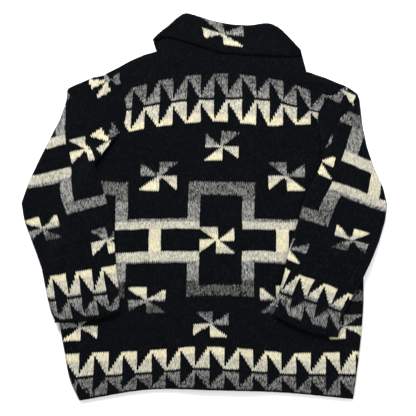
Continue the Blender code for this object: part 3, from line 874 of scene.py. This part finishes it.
def sleeve_place(side, upper, c, row, odd):
    flat_row = max(row, 0.0)
    middle, along, (low, high) = sleeve_bounds(side, flat_row)
    across = (c + sleeve_lean(side, flat_row)) * STITCH
    inside = min(across - low, high - across)
    if odd and row > 0 and inside > 0:
        flat_row = max(flat_row - DROP * min(1.0, inside / STITCH), 0.0)
        middle, along, (low, high) = sleeve_bounds(side, flat_row)
        across = (c + sleeve_lean(side, flat_row)) * STITCH
    inset = 0.0 if row >= 0 else SLEEVE_INSET * min(1.0, -row)
    share = min(max((across - low) / (high - low), 0.0), 1.0)
    across = min(max(across, low + inset), high - inset)
    x = middle[0] + along[0] * across
    y = middle[1] + along[1] * across
    cuff = CUFF_SAG * 4 * share * (1 - share) * max(0.0, 1 - flat_row / 14)
    x += along[1] * cuff
    y -= along[0] * cuff
    outer_away = nearest(SLEEVE_OUTER[side], x, y)[0]
    inner_away = nearest(SLEEVE_INNER[side], x, y)[0]
    seam_away = nearest(ARMHOLES[side], x, y)[0]
    edge = rounding(min(outer_away, inner_away), SLEEVE_ROUND)
    if share in (0.0, 1.0) and min(outer_away, inner_away) < 1.5:
        edge = 0.0
    rest = sleeve_rest(x, y, side)
    centre = rest + SLEEVE_HALF
    nose = CUFF_NOSE * (1 - rounding(flat_row * 3, HEM_ROUND))
    height = (SLEEVE_HALF - nose) * edge
    if row < 0:
        turn = eased(min(-row, 1.0))
        height = mix(height, 1.0 * (0 < share < 1), turn)
        back_up = max(0.0, -row - 1) * ROW_HEIGHT
        x -= along[1] * back_up
        y += along[0] * back_up
    else:
        height += (wale(odd) + 0.3) * edge * 0.8
    if not upper:
        return x, y, centre - min(height, SLEEVE_HALF)
    if row >= 0:
        lift, away, below, foot = crease_lift(side, x, y)
        if flat_row > 60 and edge > 0:
            if below and away < 1.8:
                x, y = foot
                lift = CREASE_HEIGHT[side] * 0.5
            elif not below and away < 2.2:
                x, y = mix(foot[0], x, 0.3), mix(foot[1], y, 0.3)
            height += lift * edge
        x, y = wander(x, y, min(outer_away, inner_away, seam_away, away) / 25 * min(flat_row / 5, 1.0))
        soft = fold_height(SLEEVE_FOLDS, x, y) + 0.5 * uneven(x, y, 5.3, 38) + 0.25 * uneven(x, y, 1.9, 15)
        height += soft * edge * min(1.0, seam_away / 12)
        if flat_row > 90:
            height -= ARMHOLE_SINK * (1 - eased(seam_away / ARMHOLE_SINK_WIDTH))
    return x, y, centre + height


def make_sleeve_piece(name, side):
    bm = new_cloth()
    rows = turned_rows(SLEEVE_TOP_ROW[side])
    stitches = (-30, 40) if side == 0 else (-42, 28)

    def is_above(c, row):
        middle, along, _ = sleeve_bounds(side, max(row, 0))
        across = (c + sleeve_lean(side, max(row, 0))) * STITCH
        x, y = middle[0] + along[0] * across, middle[1] + along[1] * across
        return row > 60 and not crease_lift(side, x, y)[2]

    def chart(c, row):
        return sleeve_chart(side, c, row, is_above(c, row))

    def under_chart(c, row):
        return sleeve_chart(side, c, row, False)

    def upper_place(c, row, odd):
        return sleeve_place(side, True, c, row, odd)

    def under_place(c, row, odd):
        return sleeve_place(side, False, c, row, odd)

    add_lattice(bm, stitches, rows, upper_place, chart)
    add_lattice(bm, stitches, rows, under_place, under_chart, turned=True)
    return finish_cloth(name, bm)


# The collar and the bands


@lru_cache(maxsize=None)
def collar_station(seam_x):
    seam_y = straight(TOP_EDGE, seam_x)
    fold_x, fold_y, free_x, free_y = (
        read(COLLAR, "seam_x", name, COLLAR_COLUMNS, seam_x) for name in COLLAR_COLUMNS[2:]
    )
    length = math.dist((seam_x, seam_y), (fold_x, fold_y))
    level = WALL + LAY + band_lift(seam_x, seam_y)
    sunk = level * (1 - eased(length / COLLAR_SINK))
    hollow = COLLAR_ROLL * min(1.0, length / 60)
    return seam_y, fold_x, fold_y, free_x, free_y, length, level, sunk, hollow


def collar_place(face, c, row, odd):
    """Rows below 0 are the stand, counted from the fold, and rows above 0 the fall."""
    seam_x = min(max(36.5 + c * STITCH, COLLAR[0][0] + 1.0), COLLAR[-1][0])
    seam_y, fold_x, fold_y, free_x, free_y, length, level, sunk, hollow = collar_station(seam_x)
    out_x, out_y = (fold_x - seam_x) / length, (fold_y - seam_y) / length
    reach = WALL + hollow / 2
    middle = sunk + reach
    radius = reach if face else hollow / 2
    turn = reach * math.pi / 2
    s = (row + (DROP if odd else 0.0)) * ROW_HEIGHT
    stands = (wale(odd) if face else -wale(odd)) * 0.7
    if abs(s) <= turn:
        angle = s / turn * math.pi / 2
        out = (radius + (stands if face else 0)) * math.cos(angle) - reach
        return fold_x + out_x * out, fold_y + out_y * out, middle + radius * math.sin(angle)
    if s < 0:
        flat = length - reach - SEAM - 0.2
        t = 1 - min((-s - turn) / flat, 1.0)
        z = mix(level, sunk, eased(t)) + (0 if face else WALL)
        tuck = SEAM + 0.2 if face else -0.6
        start_x, start_y = seam_x + out_x * tuck, seam_y + out_y * tuck
        end_x, end_y = fold_x - out_x * reach, fold_y - out_y * reach
        z = mix(z, middle - radius, eased((t - 0.6) / 0.32))
        z += (0.2 if 0 < t < 1 else 0) if face else -0.4 * (1 - min(t * 8, 1.0))
        return mix(start_x, end_x, t), mix(start_y, end_y, t), z
    end_x, end_y = fold_x - out_x * reach, fold_y - out_y * reach
    flat = math.dist((end_x, end_y), (free_x, free_y))
    t = 1 - min((s - turn) / flat, 1.0)
    x, y = mix(free_x, end_x, t), mix(free_y, end_y, t)
    under = mix(level, sunk, eased(((x - seam_x) * out_x + (y - seam_y) * out_y) / length))
    lies = under + WALL + LAY + 0.2 + (WALL if face else 0)
    from_edge = t * flat
    nose = (HEM_NOSE + 0.6) * (1 - rounding(from_edge, 6)) * (1 if face else -0.4)
    z = mix(lies - nose, middle + radius, eased(t / 0.92))
    if face and 0 < t:
        z += stands + 0.5 * uneven(x, y, 2.2, 30)
    return x, y, z


def make_collar_piece():
    bm = new_cloth()
    rows = list(range(-32, 29))

    def chart(c, row):
        tone = pinwheel((c - 2.2) * 0.84, 7.8 - row, 8.5, 7.5, 1, (GREY, LIGHT, PALE, CREAM))
        return BLACK if tone is None else tone

    add_lattice(bm, (-34, 43), rows, lambda c, row, odd: collar_place(1, c, row, odd), chart, turned=True)
    add_lattice(bm, (-34, 43), rows, lambda c, row, odd: collar_place(0, c, row, odd), plain_chart)
    bmesh.ops.remove_doubles(bm, verts=bm.verts, dist=0.02 * MM)
    bmesh.ops.dissolve_degenerate(bm, edges=bm.edges, dist=0.02 * MM)
    rims = [edge for edge in bm.edges if len(edge.link_faces) == 1]
    bmesh.ops.bridge_loops(bm, edges=rims)
    return finish_cloth("collar_knit", bm)


def button_places():
    for n in range(BUTTON["count"]):
        y = BUTTON["lowest"] + n * BUTTON["spacing"]
        yield n + 1, opening_x(y, 0) + BAND_WIDTH / 2, y


def band_place(side, upper, c, row, odd):
    level, inward, lap = (0.0, 1, -SEAM / 2) if side == 0 else (PLAIT, -1, BAND_LAP)
    start = body_place(0, 0.5)[1]
    height = min(max(row * ROW_HEIGHT, 0.0), BAND_TOPS[side])
    if odd and 0 < height < BAND_TOPS[side]:
        height -= ROW_HEIGHT / 2
    y = start + height
    share = min(max(c * STITCH / BAND_WIDTH, 0.0), 1.0)
    x = opening_x(y, side) + inward * mix(-lap, BAND_WIDTH, share)
    width = BAND_WIDTH + lap
    edge = rounding(min(share, 1 - share) * width, 4.5)
    nose = rounding(min(height, BAND_TOPS[side] - height), 4.5)
    half = WALL / 2 * edge * nose
    z = level + WALL / 2 + (half if upper else -half)
    if edge > 0 and nose > 0:
        z += (-0.25 + wale(odd) * 0.3) * (1 if upper else -1)
    if side == 0 and not upper:
        for _, at_x, at_y in button_places():
            away = math.hypot(x - at_x, y - at_y)
            if away < BUTTON["radius"] + SEAM:
                z = max(z, BUTTON["thick"] + 0.25)
    return x, y, z


def make_band_piece(name, side):
    bm = new_cloth()
    last = math.ceil(BAND_TOPS[side] / ROW_HEIGHT)
    rows = [0, 0.5] + list(range(1, last)) + [last]

    def upper_place(c, row, odd):
        return band_place(side, True, c, row, odd)

    def under_place(c, row, odd):
        return band_place(side, False, c, row, odd)

    add_lattice(bm, (0, 10), rows, upper_place, plain_chart, turned=side == 1)
    add_lattice(bm, (0, 10), rows, under_place, plain_chart, turned=side == 0)
    return finish_cloth(name, bm)


# Materials


def group_sockets(group, inputs, outputs):
    for name, kind, default in inputs:
        socket = group.interface.new_socket(name, in_out="INPUT", socket_type=kind)
        if default is not None:
            socket.default_value = default
    for name, kind in outputs:
        group.interface.new_socket(name, in_out="OUTPUT", socket_type=kind)


def noise_node(nodes, links, vector, **values):
    node = nodes.new("ShaderNodeTexNoise")
    for name, value in values.items():
        node.inputs[name].default_value = value
    links.new(vector, node.inputs["Vector"])
    return node.outputs["Fac"]


def blend_node(nodes, links, factor, first, second):
    node = nodes.new("ShaderNodeMix")
    node.data_type = "RGBA"
    node.clamp_factor = True
    for value, socket in ((factor, "Factor"), (first, "A"), (second, "B")):
        links.new(value, node.inputs[socket])
    return node.outputs["Result"]


def math_node(nodes, links, operation, *values):
    node = nodes.new("ShaderNodeMath")
    node.operation = operation
    for n, value in enumerate(values):
        if isinstance(value, (int, float)):
            node.inputs[n].default_value = value
        else:
            links.new(value, node.inputs[n])
    return node.outputs[0]


def stitch_group():
    """Height of the yarn over one leg of each stitch, and how deep the groove between legs is, which the knit
    material uses to paint shade into the grooves.
    """
    group = bpy.data.node_groups.new("Knit stitch", "ShaderNodeTree")
    group_sockets(
        group,
        (("Stitch", "NodeSocketVector", None), ("Unevenness", "NodeSocketFloat", 0.1)),
        (("Height", "NodeSocketFloat"), ("Groove", "NodeSocketFloat")),
    )
    nodes, links = group.nodes, group.links
    start, end = nodes.new("NodeGroupInput"), nodes.new("NodeGroupOutput")
    waver = noise_node(nodes, links, start.outputs["Stitch"], Scale=0.9, Detail=1.0)
    parts = nodes.new("ShaderNodeSeparateXYZ")
    links.new(start.outputs["Stitch"], parts.inputs[0])
    shift = math_node(nodes, links, "SUBTRACT", waver, 0.5)
    shift = math_node(nodes, links, "MULTIPLY", shift, start.outputs["Unevenness"])
    legs = math_node(nodes, links, "MULTIPLY", parts.outputs["X"], 2 * math.pi)
    legs = math_node(nodes, links, "ABSOLUTE", math_node(nodes, links, "SINE", legs))
    rows = math_node(nodes, links, "ADD", parts.outputs["Y"], shift)
    rows = math_node(nodes, links, "MULTIPLY", rows, math.pi)
    rows = math_node(nodes, links, "ABSOLUTE", math_node(nodes, links, "SINE", rows))
    round_legs = math_node(nodes, links, "POWER", legs, 0.55)
    round_rows = math_node(nodes, links, "POWER", rows, 0.5)
    height = math_node(nodes, links, "MULTIPLY", round_legs, round_rows)
    links.new(height, end.inputs["Height"])
    groove = math_node(nodes, links, "SUBTRACT", 1.0, height)
    links.new(math_node(nodes, links, "POWER", groove, 2.0), end.inputs["Groove"])
    return group


def heather_group():
    """Wool of two shades spun together: the lighter the tone, the more of the light fibre shows."""
    group = bpy.data.node_groups.new("Heather wool", "ShaderNodeTree")
    group_sockets(
        group,
        (
            ("Place", "NodeSocketVector", None),
            ("Tone", "NodeSocketFloat", 0.5),
            ("Warmth", "NodeSocketFloat", 0.0),
            ("Speckle", "NodeSocketFloat", 0.5),
            ("Dark", "NodeSocketColor", (0.02, 0.02, 0.02, 1)),
            ("Pale", "NodeSocketColor", (0.7, 0.7, 0.7, 1)),
            ("Light", "NodeSocketColor", (0.8, 0.75, 0.6, 1)),
        ),
        (("Color", "NodeSocketColor"), ("Fibre", "NodeSocketFloat")),
    )
    nodes, links = group.nodes, group.links
    start, end = nodes.new("NodeGroupInput"), nodes.new("NodeGroupOutput")
    flecks = noise_node(nodes, links, start.outputs["Place"], Scale=700.0, Detail=3.0, Roughness=0.7)
    tufts = noise_node(nodes, links, start.outputs["Place"], Scale=310.0, Detail=2.0)
    both = math_node(nodes, links, "ADD", flecks, tufts)
    both = math_node(nodes, links, "SUBTRACT", both, 1.0)
    both = math_node(nodes, links, "MULTIPLY", both, start.outputs["Speckle"])
    spread = math_node(nodes, links, "SUBTRACT", 1.12, start.outputs["Tone"])
    both = math_node(nodes, links, "MULTIPLY", both, spread)
    strength = math_node(nodes, links, "SQRT", start.outputs["Tone"])
    both = math_node(nodes, links, "MULTIPLY", both, strength)
    tone = math_node(nodes, links, "ADD", start.outputs["Tone"], both)
    fibre = blend_node(
        nodes, links, start.outputs["Warmth"], start.outputs["Pale"], start.outputs["Light"]
    )
    links.new(blend_node(nodes, links, tone, start.outputs["Dark"], fibre), end.inputs["Color"])
    links.new(flecks, end.inputs["Fibre"])
    return group


def knit_material(settings):
    made = bpy.data.materials.new("Heavy knit")
    made.use_nodes = True
    nodes, links = made.node_tree.nodes, made.node_tree.links
    surface = nodes["Principled BSDF"]
    uv = nodes.new("ShaderNodeUVMap")
    uv.uv_map = "stitch"
    yarn = nodes.new("ShaderNodeVertexColor")
    yarn.layer_name = "yarn"
    split = nodes.new("ShaderNodeSeparateColor")
    links.new(yarn.outputs["Color"], split.inputs[0])
    place = nodes.new("ShaderNodeTexCoord")
    knit = nodes.new("ShaderNodeGroup")
    knit.node_tree = stitch_group()
    knit.inputs["Unevenness"].default_value = 0.25
    links.new(uv.outputs["UV"], knit.inputs["Stitch"])
    heather = nodes.new("ShaderNodeGroup")
    heather.node_tree = heather_group()
    heather.inputs["Speckle"].default_value = settings.speckle
    heather.inputs["Dark"].default_value = (*settings.black, 1)
    heather.inputs["Pale"].default_value = (*settings.white, 1)
    heather.inputs["Light"].default_value = (*settings.cream, 1)
    links.new(place.outputs["Object"], heather.inputs["Place"])
    vary = math_node(nodes, links, "SUBTRACT", split.outputs["Blue"], 0.5)
    vary = math_node(nodes, links, "MULTIPLY", vary, 0.65)
    depth = math_node(nodes, links, "SUBTRACT", 1.3, split.outputs["Red"])
    vary = math_node(nodes, links, "MULTIPLY", vary, depth)
    vary = math_node(nodes, links, "ADD", vary, 1.0)
    tone = math_node(nodes, links, "MULTIPLY", split.outputs["Red"], vary)
    lint = math_node(nodes, links, "MULTIPLY", split.outputs["Blue"], 0.003)
    links.new(math_node(nodes, links, "ADD", tone, lint), heather.inputs["Tone"])
    links.new(split.outputs["Green"], heather.inputs["Warmth"])
    # Painted shade: the yarn's colour is multiplied darker in the grooves between the stitches' legs, where
    # shade falls.
    shade = math_node(nodes, links, "MULTIPLY", knit.outputs["Groove"], 0.55)
    dark = nodes.new("ShaderNodeMix")
    dark.data_type = "RGBA"
    dark.blend_type = "MULTIPLY"
    dark.inputs["B"].default_value = (0.25, 0.23, 0.2, 1)
    links.new(shade, dark.inputs["Factor"])
    links.new(heather.outputs["Color"], dark.inputs["A"])
    links.new(dark.outputs["Result"], surface.inputs["Base Color"])
    surface.inputs["Roughness"].default_value = 0.92
    surface.inputs["Specular IOR Level"].default_value = 0.04
    surface.inputs["Sheen Weight"].default_value = 0.008
    surface.inputs["Sheen Roughness"].default_value = 0.4
    fuzz = math_node(nodes, links, "MULTIPLY", heather.outputs["Fibre"], 0.35)
    height = math_node(nodes, links, "ADD", knit.outputs["Height"], fuzz)
    bump = nodes.new("ShaderNodeBump")
    bump.inputs["Strength"].default_value = 0.8
    bump.inputs["Distance"].default_value = 0.0012
    links.new(height, bump.inputs["Height"])
    links.new(bump.outputs["Normal"], surface.inputs["Normal"])
    return made


def horn_material():
    made = bpy.data.materials.new("Dark horn")
    made.use_nodes = True
    nodes, links = made.node_tree.nodes, made.node_tree.links
    surface = nodes["Principled BSDF"]
    place = nodes.new("ShaderNodeTexCoord")
    grain = noise_node(nodes, links, place.outputs["Object"], Scale=90.0, Detail=4.0, Distortion=1.5)
    colours = nodes.new("ShaderNodeValToRGB")
    colours.color_ramp.elements[0].position = 0.3
    colours.color_ramp.elements[0].color = (0.016, 0.010, 0.007, 1)
    colours.color_ramp.elements[1].position = 0.72
    colours.color_ramp.elements[1].color = (0.075, 0.045, 0.026, 1)
    links.new(grain, colours.inputs[0])
    links.new(colours.outputs[0], surface.inputs["Base Color"])
    rough = math_node(nodes, links, "MULTIPLY_ADD", grain, 0.2, 0.28)
    links.new(rough, surface.inputs["Roughness"])
    return made


def simple_material(name, colour, roughness):
    made = bpy.data.materials.new(name)
    made.use_nodes = True
    surface = made.node_tree.nodes["Principled BSDF"]
    surface.inputs["Base Color"].default_value = (*colour, 1)
    surface.inputs["Roughness"].default_value = roughness
    return made


# Buttons


def make_button_piece(n, x, y, horn, thread):
    """A turned button, its face down, with a raised rim, four holes and crossed thread."""
    radius, thick = BUTTON["radius"], BUTTON["thick"]
    profile = (
        (0.0, 1.1), (radius * 0.52, 1.1), (radius * 0.62, 0.9), (radius * 0.74, 0.25), (radius * 0.84, 0.0),
        (radius * 0.93, 0.2), (radius * 0.98, 0.7), (radius, 1.5), (radius * 0.97, 2.5), (radius * 0.86, 3.2),
        (radius * 0.6, thick), (0.0, thick),
    )
    bm = bmesh.new()
    verts = [bm.verts.new((out * MM, 0, z * MM)) for out, z in profile]
    edges = [bm.edges.new(pair) for pair in zip(verts, verts[1:])]
    bmesh.ops.spin(
        bm, geom=verts + edges, cent=(0, 0, 0), axis=(0, 0, 1), angle=math.tau, steps=40, use_merge=True
    )
    bmesh.ops.remove_doubles(bm, verts=bm.verts, dist=0.01 * MM)
    bmesh.ops.recalc_face_normals(bm, faces=bm.faces)
    if bm.calc_volume(signed=True) < 0:
        bmesh.ops.reverse_faces(bm, faces=bm.faces)
    for face in bm.faces:
        face.smooth = True
    bmesh.ops.translate(bm, verts=bm.verts, vec=in_metres(x, y, 0))
    piece = add_shape(f"button_{n}_horn", bm, horn)
    drill = bmesh.new()
    bore = BUTTON_HOLE_RADIUS * MM
    for dx in (-BUTTON_HOLE_OUT, BUTTON_HOLE_OUT):
        for dy in (-BUTTON_HOLE_OUT, BUTTON_HOLE_OUT):
            hole = bmesh.ops.create_cone(
                drill, cap_ends=True, segments=16, radius1=bore, radius2=bore, depth=8 * MM
            )
            bmesh.ops.translate(drill, verts=hole["verts"], vec=in_metres(x + dx, y + dy, 2))
    cutter = add_shape("drill", drill)
    cut = piece.modifiers.new("Holes", "BOOLEAN")
    cut.object = cutter
    bpy.context.view_layer.update()
    graph = bpy.context.evaluated_depsgraph_get()
    bored = bpy.data.meshes.new_from_object(piece.evaluated_get(graph))
    piece.modifiers.clear()
    piece.data = bored
    bpy.data.objects.remove(cutter, do_unlink=True)
    sewn = bmesh.new()
    for turn in (45, -45):
        bar = bmesh.ops.create_icosphere(sewn, subdivisions=2, radius=1.0 * MM)["verts"]
        bmesh.ops.scale(sewn, verts=bar, vec=(3.3, 0.75, 0.55))
        spin = math.radians(turn)
        for vert in bar:
            px, py, pz = vert.co
            vert.co = (
                px * math.cos(spin) - py * math.sin(spin), px * math.sin(spin) + py * math.cos(spin), pz
            )
        bmesh.ops.translate(sewn, verts=bar, vec=in_metres(x, y, THREAD_HEIGHT + (0.25 if turn > 0 else 0)))
    for face in sewn.faces:
        face.smooth = True
    return piece, add_shape(f"button_{n}_thread", sewn, thread)


# Settings, operators and panel


class KnitSettings(bpy.types.PropertyGroup):
    """Sizes and colours of the knit."""

    relief: bpy.props.FloatProperty(
        name="Relief", description="How far a stitch stands out of its groove, in millimetres", default=1.1
    )
    speckle: bpy.props.FloatProperty(
        name="Speckle", description="How strongly light and dark fibres alternate", default=0.9
    )
    black: bpy.props.FloatVectorProperty(
        name="Black yarn", description="Colour of the ground", subtype="COLOR",
        default=(0.0012, 0.0020, 0.0032),
    )
    white: bpy.props.FloatVectorProperty(
        name="White fibre", description="Light fibre of the grey yarns", subtype="COLOR",
        default=(0.66, 0.66, 0.62),
    )
    cream: bpy.props.FloatVectorProperty(
        name="Cream yarn", description="Colour of the lightest yarn", subtype="COLOR",
        default=(0.72, 0.665, 0.475),
    )


class StudioSettings(bpy.types.PropertyGroup):
    """The floor, the light and the camera."""

    floor: bpy.props.FloatVectorProperty(
        name="Floor", description="Colour of the floor", subtype="COLOR", default=(0.96, 0.96, 0.96)
    )
    height: bpy.props.FloatProperty(
        name="Camera height", description="How far above the cloth the camera is", subtype="DISTANCE",
        unit="LENGTH", default=4.0,
    )
    view_width: bpy.props.FloatProperty(
        name="View width", description="How much of the floor the photograph's frame takes in",
        subtype="DISTANCE", unit="LENGTH", default=0.8445,
    )


def dress(piece, node):
    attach(piece, "root")
    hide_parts(node)


class CARDIGAN_OT_back(bpy.types.Operator):
    """Make the back with its patterned bands, crosses and pinwheels"""

    bl_idname = "cardigan.back"
    bl_label = "Back"

    def execute(self, context):
        piece = make_back_piece()
        dress(piece, "back")
        return {"FINISHED"}


class CARDIGAN_OT_fronts(bpy.types.Operator):
    """Make the two fronts, which lie under the back"""

    bl_idname = "cardigan.fronts"
    bl_label = "Fronts"

    def execute(self, context):
        for side, name in ((0, "front_left"), (1, "front_right")):
            piece = make_front_piece(f"{name}_knit", side)
            dress(piece, name)
        return {"FINISHED"}


class CARDIGAN_OT_sleeves(bpy.types.Operator):
    """Make the two sleeves, folded down along the sides"""

    bl_idname = "cardigan.sleeves"
    bl_label = "Sleeves"

    def execute(self, context):
        for side, name in ((0, "sleeve_left"), (1, "sleeve_right")):
            piece = make_sleeve_piece(f"{name}_knit", side)
            dress(piece, name)
        return {"FINISHED"}


class CARDIGAN_OT_collar(bpy.types.Operator):
    """Make the collar, folded over behind the neck"""

    bl_idname = "cardigan.collar"
    bl_label = "Collar"

    def execute(self, context):
        piece = make_collar_piece()
        dress(piece, "collar")
        return {"FINISHED"}


class CARDIGAN_OT_bands(bpy.types.Operator):
    """Make the two plain front bands"""

    bl_idname = "cardigan.bands"
    bl_label = "Bands"

    def execute(self, context):
        for side, name, width in ((0, "band_left", 0.04), (1, "band_right", 0.058)):
            piece = make_band_piece(f"{name}_knit", side)
            dress(piece, name)
        return {"FINISHED"}


class CARDIGAN_OT_buttons(bpy.types.Operator):
    """Make the sewn-on buttons of the left band"""

    bl_idname = "cardigan.buttons"
    bl_label = "Buttons"

    def execute(self, context):
        horn, thread = horn_material(), simple_material("Sewing thread", (0.012, 0.012, 0.014), 0.8)
        for n, x, y in button_places():
            piece, stitches = make_button_piece(n, x, y, horn, thread)
            dress(piece, f"button_{n}")
            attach(stitches, "root")
        return {"FINISHED"}


class CARDIGAN_OT_stage(bpy.types.Operator):
    """Make the pale floor, the soft light and the camera straight above"""

    bl_idname = "cardigan.stage"
    bl_label = "Stage"

    def execute(self, context):
        settings = context.scene.cardigan_studio
        bm = bmesh.new()
        bmesh.ops.create_grid(bm, x_segments=1, y_segments=1, size=6)
        floor = add_shape("floor", bm, simple_material("Studio floor", settings.floor, 0.9))
        for name, place, size, power in LAMPS:
            lamp = bpy.data.lights.new(name, "AREA")
            lamp.energy = power
            lamp.size = size
            item = add_object(name, lamp)
            item.location = place
            item.rotation_euler = (-Vector(place)).to_track_quat("-Z", "Y").to_euler()
        context.scene.view_settings.view_transform = "Standard"
        world = bpy.data.worlds.new("Studio")
        world.use_nodes = True
        world.node_tree.nodes["Background"].inputs["Color"].default_value = (1, 1, 1, 1)
        world.node_tree.nodes["Background"].inputs["Strength"].default_value = SKY_STRENGTH
        context.scene.world = world
        lens = bpy.data.cameras.new("Camera")
        lens.sensor_width = 36
        lens.lens = 36 * settings.height / settings.view_width
        lens.clip_end = 30
        camera = add_object("Camera", lens)
        camera.location = (*VIEW_MIDDLE, settings.height)
        context.scene.camera = camera
        return {"FINISHED"}


class CARDIGAN_PT_panel(bpy.types.Panel):
    """Lists the cardigan's settings and pieces"""

    bl_label = "Cardigan"
    bl_idname = "CARDIGAN_PT_panel"
    bl_space_type = "VIEW_3D"
    bl_region_type = "UI"
    bl_category = "Cardigan"

    def draw(self, context):
        for group in (context.scene.cardigan_knit, context.scene.cardigan_studio):
            for name in group.__annotations__:
                self.layout.prop(group, name)
        for name in PIECES + ("stage",):
            self.layout.operator(f"cardigan.{name}")


PIECES = ("back", "fronts", "sleeves", "collar", "bands", "buttons")
CLASSES = (
    KnitSettings, StudioSettings, CARDIGAN_OT_back, CARDIGAN_OT_fronts, CARDIGAN_OT_sleeves,
    CARDIGAN_OT_collar, CARDIGAN_OT_bands, CARDIGAN_OT_buttons, CARDIGAN_OT_stage, CARDIGAN_PT_panel,
)


def register():
    for kind in CLASSES:
        bpy.utils.register_class(kind)
    bpy.types.Scene.cardigan_knit = bpy.props.PointerProperty(type=KnitSettings)
    bpy.types.Scene.cardigan_studio = bpy.props.PointerProperty(type=StudioSettings)


def unregister():
    del bpy.types.Scene.cardigan_studio
    del bpy.types.Scene.cardigan_knit
    for kind in reversed(CLASSES):
        bpy.utils.unregister_class(kind)


def main():
    register()
    knit_material(bpy.context.scene.cardigan_knit)
    for name in PIECES + ("stage",):
        getattr(bpy.ops.cardigan, name)()


if __name__ == "__main__":
    main()
